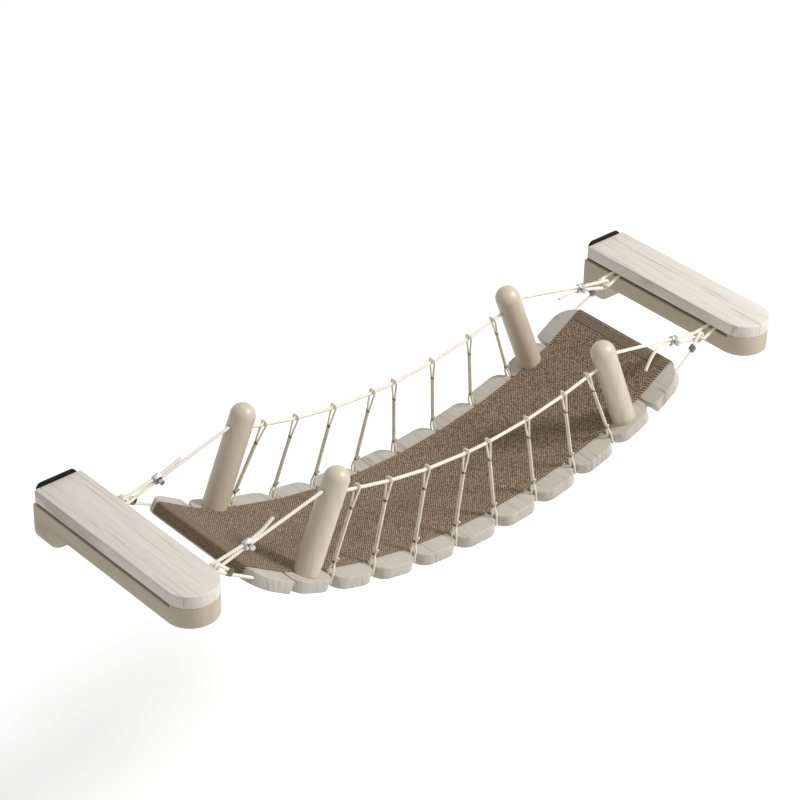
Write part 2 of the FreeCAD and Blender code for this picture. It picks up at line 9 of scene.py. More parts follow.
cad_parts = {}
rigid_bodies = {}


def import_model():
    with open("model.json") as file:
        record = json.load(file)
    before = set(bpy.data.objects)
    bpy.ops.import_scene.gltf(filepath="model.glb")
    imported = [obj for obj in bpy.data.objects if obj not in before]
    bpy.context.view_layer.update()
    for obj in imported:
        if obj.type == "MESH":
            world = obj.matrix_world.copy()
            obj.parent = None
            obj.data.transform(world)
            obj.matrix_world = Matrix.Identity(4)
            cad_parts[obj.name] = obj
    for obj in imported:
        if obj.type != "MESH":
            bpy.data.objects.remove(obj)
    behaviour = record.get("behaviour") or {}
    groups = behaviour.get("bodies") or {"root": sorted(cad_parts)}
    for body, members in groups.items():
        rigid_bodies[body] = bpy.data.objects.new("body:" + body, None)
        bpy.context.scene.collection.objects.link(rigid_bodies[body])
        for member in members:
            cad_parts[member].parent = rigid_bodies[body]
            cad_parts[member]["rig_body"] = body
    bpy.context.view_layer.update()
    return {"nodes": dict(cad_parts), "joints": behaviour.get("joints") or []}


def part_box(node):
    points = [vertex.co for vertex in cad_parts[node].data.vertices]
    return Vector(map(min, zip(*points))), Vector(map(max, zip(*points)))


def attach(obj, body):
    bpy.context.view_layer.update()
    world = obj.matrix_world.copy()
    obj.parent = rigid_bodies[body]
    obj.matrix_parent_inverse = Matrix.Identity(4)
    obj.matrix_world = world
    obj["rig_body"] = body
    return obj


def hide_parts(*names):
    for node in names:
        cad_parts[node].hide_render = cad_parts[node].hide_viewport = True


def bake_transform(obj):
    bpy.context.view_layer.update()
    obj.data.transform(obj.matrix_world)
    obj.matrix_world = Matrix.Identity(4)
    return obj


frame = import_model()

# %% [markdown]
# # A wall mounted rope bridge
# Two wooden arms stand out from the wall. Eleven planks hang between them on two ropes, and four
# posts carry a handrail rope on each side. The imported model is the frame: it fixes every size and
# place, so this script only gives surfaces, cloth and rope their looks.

nodes = frame["nodes"]
joint_at = {j["name"]: Vector(j["pos_m"]) for j in frame["joints"]}

# %% [markdown]
# The deck is a chain of planks. Its bends lie at the joints between planks, and one more at each
# outer end. From those points each plank gets its own axes: x across the plank, y along it, z up.

# %% Find the planks' places
PLANKS = 11
PLANK_THICK = 0.017
ROPE_END = 0.050                     # hanging point to the first plank
ROPE_END_ANGLE = math.radians(35)
RAIL_HALF = 0.092                    # handrail to the deck's middle line
ROWS = {"front": -1, "rear": 1}
SIDES = {"left": -1, "right": 1}
QUARTERS = {place + "_" + where: (side, row) for where, row in ROWS.items()
            for place, side in SIDES.items()}
hang = {-1: joint_at["left_rail_swing"], 1: joint_at["right_rail_swing"]}
DECK_Y = hang[-1].y


def end_knot(side):
    down = Vector((-side * math.cos(ROPE_END_ANGLE), 0, -math.sin(ROPE_END_ANGLE)))
    return hang[side] + down * ROPE_END


knots = [end_knot(-1)]
knots += [joint_at["plank_%d_%d" % (j, j + 1)] for j in range(1, PLANKS)]
knots += [end_knot(1)]


def plank_axes(j):
    """Matrix from plank j's own axes to the object's."""
    start, end = knots[j - 1], knots[j]
    x = (end - start).normalized()
    z = Vector((-x.z, 0, x.x))
    turned = Matrix((x, Vector((0, 1, 0)), z)).transposed().to_4x4()
    return Matrix.Translation((start + end) / 2) @ turned


print("deck from", tuple(round(v, 3) for v in knots[0]), "to", tuple(round(v, 3) for v in knots[-1]))

# %% [markdown]
# ## Finishes
# A procedural material is a tree of nodes. Adding each node by hand takes several lines, so a few
# helpers add a node, link it and give back its output. A tree then reads like a sum.

# %% Define the node helpers
def plug(tree, made, sockets):
    """Gives a node's sockets plain values or other nodes' outputs."""
    for key, value in sockets.items():
        if hasattr(value, "links"):
            tree.links.new(value, made.inputs[key])
        else:
            made.inputs[key].default_value = value


def node(tree, kind, sockets=None, **values):
    made = tree.nodes.new(kind)
    for name, value in values.items():
        setattr(made, name, value)
    plug(tree, made, sockets or {})
    return made


def maths(tree, operation, *values):
    return node(tree, "ShaderNodeMath", dict(enumerate(values)), operation=operation).outputs[0]


def mix_colour(tree, share, a, b):
    return node(tree, "ShaderNodeMix", {"Factor": share, 6: a, 7: b}, data_type="RGBA").outputs[2]


def mix_value(tree, share, a, b):
    return node(tree, "ShaderNodeMix", {"Factor": share, 2: a, 3: b}, data_type="FLOAT").outputs[0]


def noise(tree, vector, scale, detail=4.0, distortion=0.0):
    sockets = {"Vector": vector, "Scale": scale, "Detail": detail, "Distortion": distortion}
    return node(tree, "ShaderNodeTexNoise", sockets).outputs["Fac"]


def stretch(tree, value, low, high):
    """Spreads a narrow band of values over 0 to 1."""
    sockets = {"Value": value, "From Min": low, "From Max": high}
    return node(tree, "ShaderNodeMapRange", sockets).outputs["Result"]


def ridges(tree, value, pitch):
    """Sine between 0 and 1 that repeats after each pitch."""
    wave = maths(tree, "SINE", maths(tree, "MULTIPLY", value, 2 * math.pi / pitch))
    return maths(tree, "MULTIPLY_ADD", wave, 0.5, 0.5)


def coordinate(tree, kind="Object"):
    """Where a point lies, in the object's metres or on its UV map."""
    return node(tree, "ShaderNodeTexCoord").outputs[kind]


def bump(tree, height, distance):
    return node(tree, "ShaderNodeBump", {"Distance": distance, "Height": height}).outputs["Normal"]


def new_group(name, inputs, outputs):
    group = bpy.data.node_groups.new(name, "ShaderNodeTree")
    for way, sockets in (("INPUT", inputs), ("OUTPUT", outputs)):
        for title, kind in sockets:
            group.interface.new_socket(name=title, in_out=way, socket_type="NodeSocket" + kind)
    return group, node(group, "NodeGroupInput"), node(group, "NodeGroupOutput")


def srgb(r, g, b):
    """Colour written as the 0 to 255 values of a screen."""
    def linear(v):
        v /= 255
        return v / 12.92 if v <= 0.04045 else ((v + 0.055) / 1.055) ** 2.4
    return (linear(r), linear(g), linear(b), 1.0)


print("mid grey on a screen is", round(srgb(128, 128, 128)[0], 3), "as light")

# %% [markdown]
# ### Wood
# All the wood here is pale and washed with white, so its grain is faint: long thin lines, a few
# wider cathedral bands, and slow changes of tone. Several woods need it, so one node group makes
# the grain and each wood gives it its own colours.

# %% Build the grain group
grain, g_in, g_out = new_group(
    "washed_grain",
    [("Vector", "Vector"), ("Light", "Color"), ("Dark", "Color"), ("Bands", "Float"),
     ("Strength", "Float")],
    [("Color", "Color"), ("Roughness", "Float"), ("Height", "Float")])
calc = partial(maths, grain)
along = g_in.outputs["Vector"]
pores = stretch(grain, noise(grain, along, 700, 4, 0.3), 0.5, 0.75)
broad = stretch(grain, noise(grain, along, 45, 3, 0.6), 0.3, 0.7)
rings = stretch(grain, noise(grain, along, g_in.outputs["Bands"], 1.5, 0.5), 0.55, 0.72)
rings = calc("MULTIPLY", rings, calc("MULTIPLY_ADD", broad, 0.6, 0.4))
lines = calc("MULTIPLY_ADD", pores, 0.3, calc("MULTIPLY", rings, 0.8))
lines = calc("MULTIPLY_ADD", broad, 0.15, lines)
share = calc("MULTIPLY", lines, g_in.outputs["Strength"])
plug(grain, g_out, {"Color": mix_colour(grain, share, g_in.outputs["Light"], g_in.outputs["Dark"]),
                    "Roughness": calc("MULTIPLY_ADD", lines, 0.2, 0.45),
                    "Height": calc("SUBTRACT", 1.0, lines)})
print("built", grain.name)

# %% [markdown]
# Each wood is a Principled shader with the grain in its colour, its roughness and a shallow bump.
# A stretch along the board turns the round noise into lines. The boards are planed pine, the posts
# are turned and varnished, and the planks have the strongest rings.


# %% Make the woods
def blank_material(name):
    made = bpy.data.materials.new(name)
    made.use_nodes = True
    return made, made.node_tree, made.node_tree.nodes["Principled BSDF"]


def wood(name, light, dark, strength, bands, fine, depth=0.0001):
    """Washed wood. bands is how close its rings lie, fine how quickly the grain changes each way."""
    made, tree, shader = blank_material(name)
    drawn_out = node(tree, "ShaderNodeMapping", {"Vector": coordinate(tree), "Scale": fine})
    sockets = {"Vector": drawn_out.outputs["Vector"], "Light": light, "Dark": dark, "Bands": bands,
               "Strength": strength}
    figure = node(tree, "ShaderNodeGroup", sockets, node_tree=grain).outputs
    plug(tree, shader, {"Base Color": figure["Color"], "Roughness": figure["Roughness"],
                        "Normal": bump(tree, figure["Height"], depth)})
    return made


ALONG_Y = (1.0, 0.05, 0.12)
LONG_Y = (1.0, 0.025, 0.12)
ALONG_Z = (1.0, 1.0, 0.05)
board_wood = wood("board_wood", srgb(228, 221, 210), srgb(164, 152, 135), 0.75, 330, LONG_Y)
# The lower bodies are the boards' washed wood in a darker colour, which is painted shade for their shaded
# sides.
body_wood = wood("body_wood", srgb(192, 178, 156), srgb(168, 152, 128), 0.5, 90, ALONG_Y, 0.00004)
plank_wood = wood("plank_wood", srgb(194, 186, 174), srgb(122, 111, 96), 0.65, 240, ALONG_Y)
post_wood = wood("post_wood", srgb(207, 194, 173), srgb(174, 158, 135), 0.4, 120, ALONG_Z, 0.00003)
plug(post_wood.node_tree, post_wood.node_tree.nodes["Principled BSDF"],
     {"Coat Weight": 0.6, "Coat Roughness": 0.35})
print("woods:", board_wood.name, body_wood.name, plank_wood.name, post_wood.name)

# %% [markdown]
# ### Coated steel
# The brackets are powder coated. Powder melts into a skin with a fine orange peel and a soft gloss,
# which small noise in the bump copies. The coat hides the metal, so the shader is not metallic.

# %% Make the coated steel
black_coat, tree, shader = blank_material("black_coat")
peel = noise(tree, coordinate(tree), 1500, 2)
plug(tree, shader, {"Base Color": mix_colour(tree, peel, srgb(14, 14, 15), srgb(30, 30, 32)),
                    "Roughness": 0.6, "Specular IOR Level": 0.15,
                    "Normal": bump(tree, peel, 0.00008)})
print("made", black_coat.name)

# %% [markdown]
# ### Zinc
# The clamps, the screws and the wire crimps are zinc plated, so they are metallic. Handling leaves
# fine scratches in their colour and roughness. Bright plate and dull wire share that group.

# %% Make the zinc
scratches, g_in, g_out = new_group(
    "fine_scratches",
    [("Vector", "Vector"), ("Light", "Color"), ("Dark", "Color")],
    [("Color", "Color"), ("Roughness", "Float"), ("Height", "Float")])
scratch = noise(scratches, g_in.outputs["Vector"], 2600, 4, 0.6)
tone = mix_colour(scratches, scratch, g_in.outputs["Light"], g_in.outputs["Dark"])
plug(scratches, g_out, {"Color": tone, "Height": scratch,
                        "Roughness": maths(scratches, "MULTIPLY_ADD", scratch, 0.2, 0.2)})


def zinc_plate(name, light, dark):
    made, tree, shader = blank_material(name)
    sockets = {"Vector": coordinate(tree), "Light": light, "Dark": dark}
    marks = node(tree, "ShaderNodeGroup", sockets, node_tree=scratches).outputs
    plug(tree, shader, {"Base Color": marks["Color"], "Roughness": marks["Roughness"],
                        "Metallic": 1.0, "Normal": bump(tree, marks["Height"], 0.00003)})
    return made


bright_zinc = zinc_plate("bright_zinc", srgb(214, 212, 208), srgb(160, 158, 155))
dull_wire = zinc_plate("dull_wire", srgb(128, 120, 108), srgb(82, 76, 68))
print("metals:", black_coat.name, bright_zinc.name, dull_wire.name)

# %% [markdown]
# ### Rope
# The ropes are tight cotton cord, cream and nearly smooth. Each rope has a UV map that counts
# metres along it and turns round it, so slanting bands of a sine wave follow every bend and make
# the fine lay. The bands bump the cord and also darken its colour in the grooves between strands,
# which is painted shade. The finer hairs come from noise. A tail is a curve, whose own map runs
# from 0 to 1.

# %% Build the lay group
lay_group, g_in, g_out = new_group(
    "cotton_lay",
    [("UV", "Vector"), ("Point", "Vector"), ("Light", "Color"), ("Dark", "Color"),
     ("Strands", "Float"), ("Turns", "Float")],
    [("Color", "Color"), ("Height", "Float")])
calc = partial(maths, lay_group)
split = node(lay_group, "ShaderNodeSeparateXYZ", {"Vector": g_in.outputs["UV"]}).outputs
turn = calc("MULTIPLY", split["Y"], g_in.outputs["Strands"])
turn = calc("MULTIPLY_ADD", split["X"], g_in.outputs["Turns"], turn)
crest = ridges(lay_group, turn, 1)
hair = noise(lay_group, g_in.outputs["Point"], 1500, 5)
stain = stretch(lay_group, noise(lay_group, g_in.outputs["Point"], 90, 3), 0.35, 0.75)
# The colour mixes random stain tone with painted shade that darkens the grooves between strands (1 -
# crest).
share = calc("MULTIPLY_ADD", stain, 0.4, calc("MULTIPLY", calc("SUBTRACT", 1.0, crest), 0.6))
tone = mix_colour(lay_group, share, g_in.outputs["Light"], g_in.outputs["Dark"])
plug(lay_group, g_out, {"Color": tone, "Height": calc("MULTIPLY_ADD", hair, 0.8, crest)})
print("built", lay_group.name)

# %% [markdown]
# Thick rope shows three strands and the thin cord of the hangers shows two. A little sheen gives
# the soft edge that cotton fibres have against the light.


# %% Make the cotton
def cotton(name, light, dark, strands, lay, run=1.0):
    """Cord in strands, one turn each lay metres. run is how many metres the map's 1 stands for."""
    made, tree, shader = blank_material(name)
    sockets = {"UV": coordinate(tree, "UV"), "Point": coordinate(tree), "Light": light,
               "Dark": dark, "Strands": strands, "Turns": run / lay}
    laid = node(tree, "ShaderNodeGroup", sockets, node_tree=lay_group).outputs
    plug(tree, shader, {"Base Color": laid["Color"], "Roughness": 0.8, "Sheen Weight": 0.1,
                        "Normal": bump(tree, laid["Height"], 0.0001)})
    return made


TAIL_RUN = 0.040
ROPE_LAY = 0.0042
ROPE_TONES = (srgb(249, 244, 232), srgb(228, 219, 202))
rope_cotton = cotton("rope_cotton", *ROPE_TONES, 3, ROPE_LAY)
tail_cotton = cotton("tail_cotton", *ROPE_TONES, 3, ROPE_LAY, TAIL_RUN)
thin_cotton = cotton("thin_cotton", srgb(252, 245, 228), srgb(216, 201, 174), 2, 0.0030)
print("cords:", rope_cotton.name, tail_cotton.name, thin_cotton.name)

# %% [markdown]
# ### Woven mat
# The mat is a coarse weave in brown and beige. Its UV map counts metres along the deck and across
# it, and two sines that cross at a slant make the bumps of the threads. The same relief sets the
# colour, near black in the hollows between threads as painted shade. The ends are a darker hem
# behind a line of sewing, and the long edges are whipped. Noise keeps it from looking printed.


# %% Make the weave
RIDGE = 0.0036                       # from ridge to ridge, along the deck
MAT_WIDTH = 0.176
MAT_LENGTH = 0.813                   # along the deck, with both turned ends
HEM = 0.036                          # hem from the end, 15 mm of it turned down
HEM_RIB = 0.0030
SEWING_HALF = 0.0008
WHIPPED = 0.0035                     # whipped edge
WHIP_TURN = 0.0042


def from_edge(tree, value, size):
    return maths(tree, "MINIMUM", value, maths(tree, "SUBTRACT", size, value))


def weave_material():
    made, tree, shader = blank_material("mat_weave")
    calc, fine = partial(maths, tree), partial(noise, tree, coordinate(tree))
    split = node(tree, "ShaderNodeSeparateXYZ", {"Vector": coordinate(tree, "UV")}).outputs
    x, y = split["X"], split["Y"]
    shifted = calc("MULTIPLY_ADD", fine(60, 2), 0.0022, x)
    twill = ridges(tree, calc("SUBTRACT", shifted, y), RIDGE)
    stitch = ridges(tree, calc("ADD", shifted, y), RIDGE)
    rib = ridges(tree, shifted, HEM_RIB)
    whip = ridges(tree, calc("MULTIPLY_ADD", y, 0.4, x), WHIP_TURN)
    fleck = stretch(tree, fine(330, 3), 0.38, 0.66)
    slub = stretch(tree, fine(480, 5), 0.3, 0.7)
    cloud = stretch(tree, fine(22, 3), 0.3, 0.7)
    basket = calc("MULTIPLY", calc("ADD", twill, 0.25), calc("ADD", stitch, 0.25))
    body = calc("MULTIPLY", basket, calc("MULTIPLY_ADD", fleck, 0.95, 0.3))
    end = from_edge(tree, x, MAT_LENGTH)
    in_hem = calc("LESS_THAN", end, HEM)
    sewing = calc("LESS_THAN", calc("ABSOLUTE", calc("SUBTRACT", end, HEM)), SEWING_HALF)
    edge = calc("LESS_THAN", from_edge(tree, y, MAT_WIDTH), WHIPPED)
    height = mix_value(tree, in_hem, body, calc("MULTIPLY", calc("ADD", rib, stitch), 0.4))
    height = mix_value(tree, edge, height, calc("MULTIPLY", whip, 0.8))
    # The colour follows the relief. The near black in the hollows between threads, ribs and whipping
    # turns is painted shade, and the raised tops keep the beige.
    light = calc("MULTIPLY", height, calc("MULTIPLY_ADD", slub, 0.6, 0.5))
    tone = mix_colour(tree, light, srgb(32, 24, 16), srgb(222, 190, 154))
    for mask, strength, colour in ((cloud, 0.15, srgb(118, 98, 78)), (in_hem, 0.3, srgb(92, 77, 61)),
                                   (sewing, 0.7, srgb(70, 57, 44))):
        tone = mix_colour(tree, calc("MULTIPLY", mask, strength), tone, colour)
    plug(tree, shader, {"Base Color": tone, "Roughness": 0.95, "Sheen Weight": 0.08,
                        "Normal": bump(tree, calc("MULTIPLY_ADD", slub, 0.6, height), 0.0007)})
    return made


mat_weave = weave_material()
print("weave with ridges", RIDGE * 1000, "mm apart")

# %% [markdown]
# ## Rigid pieces
# Sawn and sanded wood has a small round on every edge, which catches the light. A board starts as a
# cube drawn out to its size. Bevelling its upright edges with many segments makes the round nose,
# and a second, narrow bevel eases what is still sharp. Booleans cut the slots and holes.

# %% Define the helpers for solid pieces
SHARP = math.radians(40)             # from here on an edge is drawn sharp
THROUGH = 0.1                        # length of a cutter that goes right through
PAST = 0.01                          # how far a cutter reaches past the wood
NEAR = 0.001                         # how near to a plane counts as on it


def body_named(name):
    return nodes[name]["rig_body"]


def placed(name, data):
    """Object with this data, in the scene."""
    made = bpy.data.objects.new(name, data)
    bpy.context.scene.collection.objects.link(made)
    return made


def solid(name, bm):
    """Object with a bmesh's shape. The bmesh is used up."""
    mesh = bpy.data.meshes.new(name)
    bm.to_mesh(mesh)
    bm.free()
    return placed(name, mesh)


def worked_out(held):
    """Bmesh of an object with its modifiers or its curve's round section. The object is used up."""
    bpy.context.view_layer.update()
    shape = bpy.data.meshes.new_from_object(held.evaluated_get(bpy.context.evaluated_depsgraph_get()))
    bpy.data.objects.remove(held)
    made = bmesh.new()
    made.from_mesh(shape)
    bpy.data.meshes.remove(shape)
    return made


def show(bm, name, material, body):
    """Turns a bmesh into a piece that rides on a body, or on none."""
    piece = solid(name, bm)
    piece.data.shade_smooth()
    piece.data.set_sharp_from_angle(angle=SHARP)
    piece.data.materials.append(material)
    if body:
        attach(piece, body)
    return piece


def block(low, high):
    """Box between two corners."""
    bm = bmesh.new()
    bmesh.ops.create_cube(bm, size=1.0)
    low, high = Vector(low), Vector(high)
    bmesh.ops.scale(bm, vec=high - low, verts=bm.verts)
    bmesh.ops.translate(bm, vec=(low + high) / 2, verts=bm.verts)
    return bm


def bevel(bm, edges, width, segments):
    bmesh.ops.bevel(bm, geom=edges, offset=width, offset_type="OFFSET", affect="EDGES",
                    segments=segments, profile=0.5, material=-1, clamp_overlap=True)


def parallel_edges(bm, axis, test):
    """Edges along one axis whose middle passes a test."""
    found = []
    for e in bm.edges:
        way = (e.verts[1].co - e.verts[0].co).normalized()
        if abs(way[axis]) > 0.999 and test((e.verts[0].co + e.verts[1].co) / 2):
            found.append(e)
    return found


def ease(bm, width, sharp=math.radians(50)):
    """Narrow round on every edge that is still sharp."""
    hard = [e for e in bm.edges if len(e.link_faces) == 2 and e.calc_face_angle(0) > sharp]
    bevel(bm, hard, width, 3)


def rod_cutter(radius, depth, axes):
    bm = bmesh.new()
    bmesh.ops.create_cone(bm, cap_ends=True, segments=48, radius1=radius, radius2=radius,
                          depth=depth, matrix=axes)
    return solid("cutter", bm)


def combined(bm, others, operation="DIFFERENCE"):
    """The mesh after one boolean with each of the other objects, which are used up."""
    held = solid("worked", bm)
    for other in others:
        cut = held.modifiers.new("cut", "BOOLEAN")
        cut.object, cut.operation, cut.solver = other, operation, "EXACT"
    made = worked_out(held)
    for used in others:
        bpy.data.objects.remove(used)
    bmesh.ops.remove_doubles(made, verts=made.verts, dist=1e-6)
    return made


print("wood hides", len([n for n in nodes if n.endswith(("board", "body"))]), "packed boards")

# %% [markdown]
# ### Arms
# An arm is a board on a lower body, with a slot between them for the steel bracket. The body has a
# deeper foot on the wall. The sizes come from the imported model's boxes.

# %% Shape the arms
ARM_HALF = 0.035
NOSE = 0.97 * ARM_HALF               # radius of the round nose's corners
BODY_THICK = 0.023
ARM_EASE = 0.0012
KERF_TOP = 0.012
KERF_FLOOR = 0.007
KERF_END = -0.276
FOOT_DEPTH = 0.026
FOOT_CORNER = 0.026
FOOT_OVERLAP = 0.002
BRACKET_HALF = 0.0303                # half of the bracket's pocket
POCKET_DEPTH = 0.0043
POCKET_FLOOR = 0.008
SCREW_INSET = 0.0095                 # screw to the arm's inner side
SCREW_HOLE_R = 0.0021
SCREW_HEAD_R = 0.0041
SCREW_HEAD = 0.0031


def round_nose(bm, depth):
    bevel(bm, parallel_edges(bm, 2, lambda m: m.y < -depth + NEAR), NOSE, 20)


for place, side in SIDES.items():
    low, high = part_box(place + "_top_board")
    bm = block(low, high)
    round_nose(bm, -low[1])
    ease(bm, ARM_EASE)
    board = show(bm, "sanded_%s_board" % place, board_wood, "arms")
    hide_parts(place + "_top_board")

    low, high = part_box(place + "_lower_body")
    bottom = KERF_FLOOR - BODY_THICK
    middle = (low[0] + high[0]) / 2
    bm = block((low[0], low[1], bottom), (high[0], high[1], KERF_TOP))
    round_nose(bm, -low[1])
    foot = block((low[0], -FOOT_DEPTH, low[2]), (high[0], 0, bottom + FOOT_OVERLAP))
    bevel(foot, parallel_edges(foot, 1, lambda m: m.z < low[2] + NEAR), FOOT_CORNER, 12)
    bm = combined(bm, [solid("foot", foot)], "UNION")
    kerf = block((low[0] - PAST, KERF_END, KERF_FLOOR), (high[0] + PAST, PAST, KERF_TOP + PAST))
    pocket = block((middle - BRACKET_HALF, -POCKET_DEPTH, low[2] + POCKET_FLOOR),
                   (middle + BRACKET_HALF, PAST, KERF_FLOOR + PAST))
    bm = combined(bm, [solid("kerf", kerf), solid("pocket", pocket)])
    ease(bm, ARM_EASE)
    holes = []
    for row in ROWS.values():
        spot = Matrix.Translation((middle - side * (ARM_HALF - SCREW_INSET),
                                   DECK_Y + row * RAIL_HALF, bottom))
        holes += [rod_cutter(SCREW_HOLE_R, THROUGH, spot), rod_cutter(SCREW_HEAD_R, 2 * SCREW_HEAD, spot)]
    bm = combined(bm, holes)
    body = show(bm, "sanded_%s_body" % place, body_wood, "arms")
    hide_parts(place + "_lower_body")
print("shaped two arms")

# %% [markdown]
# ### Planks
# The planks are rounded in plan, with a larger round on the outer corners of the two end planks,
# and drilled from edge to edge for the ropes. Each is cut flat, then moved to its place in the deck.

# %% Shape the planks
HALF_PLANK = 0.0335                  # half a plank's width
PLANK_LENGTH = 0.232
PLANK_EASE = 0.0014
CORNER = 0.020
END_CORNER = 0.034
END_INNER_CORNER = 0.005
HOLE_HALF = 0.100                    # deck rope to the deck's middle line
ROPE_HOLE_R = 0.0030


def corners_of(j):
    """Radii of a plank's left and right corners."""
    left = END_CORNER if j == 1 else END_INNER_CORNER if j == PLANKS else CORNER
    right = END_CORNER if j == PLANKS else END_INNER_CORNER if j == 1 else CORNER
    return left, right


for j in range(1, PLANKS + 1):
    half = Vector((HALF_PLANK, PLANK_LENGTH / 2, PLANK_THICK / 2))
    bm = block(-half, half)
    left, right = corners_of(j)
    bevel(bm, parallel_edges(bm, 2, lambda m: m.x < 0), left, 12)
    bevel(bm, parallel_edges(bm, 2, lambda m: m.x > HALF_PLANK - NEAR), right, 12)
    ease(bm, PLANK_EASE)
    turned = Matrix.Rotation(math.pi / 2, 4, "Y")
    bm = combined(bm, [rod_cutter(ROPE_HOLE_R, THROUGH, Matrix.Translation((0, y, 0)) @ turned)
                       for y in (-HOLE_HALF, HOLE_HALF)])
    bmesh.ops.transform(bm, matrix=plank_axes(j), verts=bm.verts)
    piece = show(bm, "sanded_plank_%d" % j, plank_wood, "deck_%d" % j)
    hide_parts("plank_%d" % j)
print("shaped", PLANKS, "planks")

# %% [markdown]
# ### Steel parts
# The brackets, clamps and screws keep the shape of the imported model. A CAD node's mesh is loose
# triangles with sharp edges, so a copy is merged, its flat faces are joined again, and its sharp
# edges get a fine bevel.


# %% Finish the steel
ZINC_EASE = 0.00025
STEEL_EASE = 0.0005


def finished(name, material, width):
    """Copy of a node with its sharp edges rounded."""
    bm = bmesh.new()
    bm.from_mesh(nodes[name].data)
    bmesh.ops.remove_doubles(bm, verts=bm.verts, dist=2e-6)
    bmesh.ops.dissolve_limit(bm, angle_limit=math.radians(0.8), verts=bm.verts, edges=bm.edges)
    ease(bm, width)
    piece = show(bm, "finished_" + name, material, body_named(name))
    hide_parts(name)
    return piece


for name in nodes:
    if name.startswith(("clamp", "thumbscrew")):
        finished(name, bright_zinc, ZINC_EASE)
    if name.endswith("bracket"):
        finished(name, black_coat, STEEL_EASE)
    if name.endswith("board_screws"):
        nodes[name].data.materials.clear()
        nodes[name].data.materials.append(bright_zinc)
print("finished the steel parts")

# %% [markdown]
# ## Posts
# A post is a turned stick with a round top, and its handrail passes through a drilled hole. Turning
# is a spin: half the outline goes once round the axis. A thin rod then cuts the hole.

# %% Turn the posts
POST_R = 0.017
POST_HEIGHT = 0.146
POST_HOLE_DROP = 0.034
POST_HOLE_R = 0.0031
POST_DRILL = 0.06
POST_EASE = 0.0006
POST_PLANK = {-1: 2, 1: PLANKS - 1}
HOLE_LEVEL = PLANK_THICK / 2 + POST_HEIGHT - POST_HOLE_DROP
DOME_STEPS = 12


def turned_post(side, row):
    bm = bmesh.new()
    foot = PLANK_THICK / 2
    shoulder = foot + POST_HEIGHT - POST_R
    outline = [(0.0, foot), (POST_R - POST_EASE, foot), (POST_R, foot + POST_EASE),
               (POST_R, shoulder)]
    for i in range(1, DOME_STEPS + 1):
        t = math.pi / 2 * i / DOME_STEPS
        outline.append((POST_R * math.cos(t), shoulder + POST_R * math.sin(t)))
    verts = [bm.verts.new((r, 0, z)) for r, z in outline]
    edges = [bm.edges.new(pair) for pair in zip(verts, verts[1:])]
    bmesh.ops.spin(bm, geom=verts + edges, cent=(0, 0, 0), axis=(0, 0, 1), angle=2 * math.pi,
                   steps=64, use_merge=True)
    bmesh.ops.remove_doubles(bm, verts=bm.verts, dist=1e-6)
    bmesh.ops.recalc_face_normals(bm, faces=bm.faces)
    axes = plank_axes(POST_PLANK[side]) @ Matrix.Translation((0, row * RAIL_HALF, 0))
    bmesh.ops.transform(bm, matrix=axes, verts=bm.verts)
    return bm, axes


for quarter, (side, row) in QUARTERS.items():
    bm, axes = turned_post(side, row)
    name = "post_" + quarter
    across = axes @ Matrix.Translation((0, 0, HOLE_LEVEL)) @ Matrix.Rotation(math.pi / 2, 4, "Y")
    bm = combined(bm, [rod_cutter(POST_HOLE_R, POST_DRILL, across)])
    post = show(bm, "turned_" + name, post_wood, body_named(name))
    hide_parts(name)
print("turned", len(QUARTERS), "posts")

# %% [markdown]
# ## Rope pieces
# A rope is drawn as a curve and given a round section. Its mesh is taken from the curve with its UV
# map, which the cotton reads. The deck bends at every gap between planks, so a rope is made whole
# and then sliced at the planks' middles.


# %% Define the rope helpers
def rope_line(name, points, radius, steps, sides, closed=False):
    """Smooth curve along points with a round section, and its spline."""
    line = bpy.data.curves.new(name, "CURVE")
    line.dimensions = "3D"
    line.resolution_u = steps
    spline = line.splines.new("NURBS")
    spline.points.add(len(points) - 1)
    for p, q in zip(spline.points, points):
        p.co = (*q, 1.0)
    spline.order_u = 3
    spline.use_endpoint_u = not closed
    spline.use_cyclic_u = closed
    line.bevel_depth = radius
    line.bevel_resolution = sides
    line.use_fill_caps = not closed
    return placed(name, line), spline


def rope_mesh(name, points, radius, closed=False):
    """Mesh of a rope, mapped in metres along it and turns round it, and its length."""
    holder, spline = rope_line(name, points, radius, 10, 4, closed)
    bpy.context.view_layer.update()
    length = spline.calc_length()
    bm = worked_out(holder)
    uv_layer = bm.loops.layers.uv[0]
    for face in bm.faces:
        for corner in face.loops:
            corner[uv_layer].uv.x *= length
    bmesh.ops.remove_doubles(bm, verts=bm.verts, dist=1e-7)
    bmesh.ops.recalc_face_normals(bm, faces=bm.faces)
    return bm, length


def dense(points, step=0.008):
    """Adds points on straight runs, so that the smooth line keeps to them."""
    made = [points[0]]
    for a, b in zip(points, points[1:]):
        count = max(1, round((b - a).length / step))
        made += [a.lerp(b, (i + 1) / count) for i in range(count)]
    return made


def closed(bm):
    """Fills the open ends that a cut leaves."""
    bmesh.ops.holes_fill(bm, edges=[e for e in bm.edges if e.is_boundary], sides=0)
    return bm


def cut_at(bm, j, drop_before):
    """Cuts a mesh at the middle of plank j and drops what lies before it, or what lies after it."""
    axes = plank_axes(j)
    bmesh.ops.bisect_plane(bm, geom=bm.verts[:] + bm.edges[:] + bm.faces[:],
                           plane_co=axes.translation, plane_no=axes.col[0].xyz,
                           clear_inner=drop_before, clear_outer=not drop_before, dist=1e-6)


def sliced(bm, low, high):
    """Copy of a mesh between the middles of two planks. None leaves that side uncut."""
    part = bm.copy()
    if low:
        cut_at(part, low, True)
    if high:
        cut_at(part, high, False)
    return closed(part)


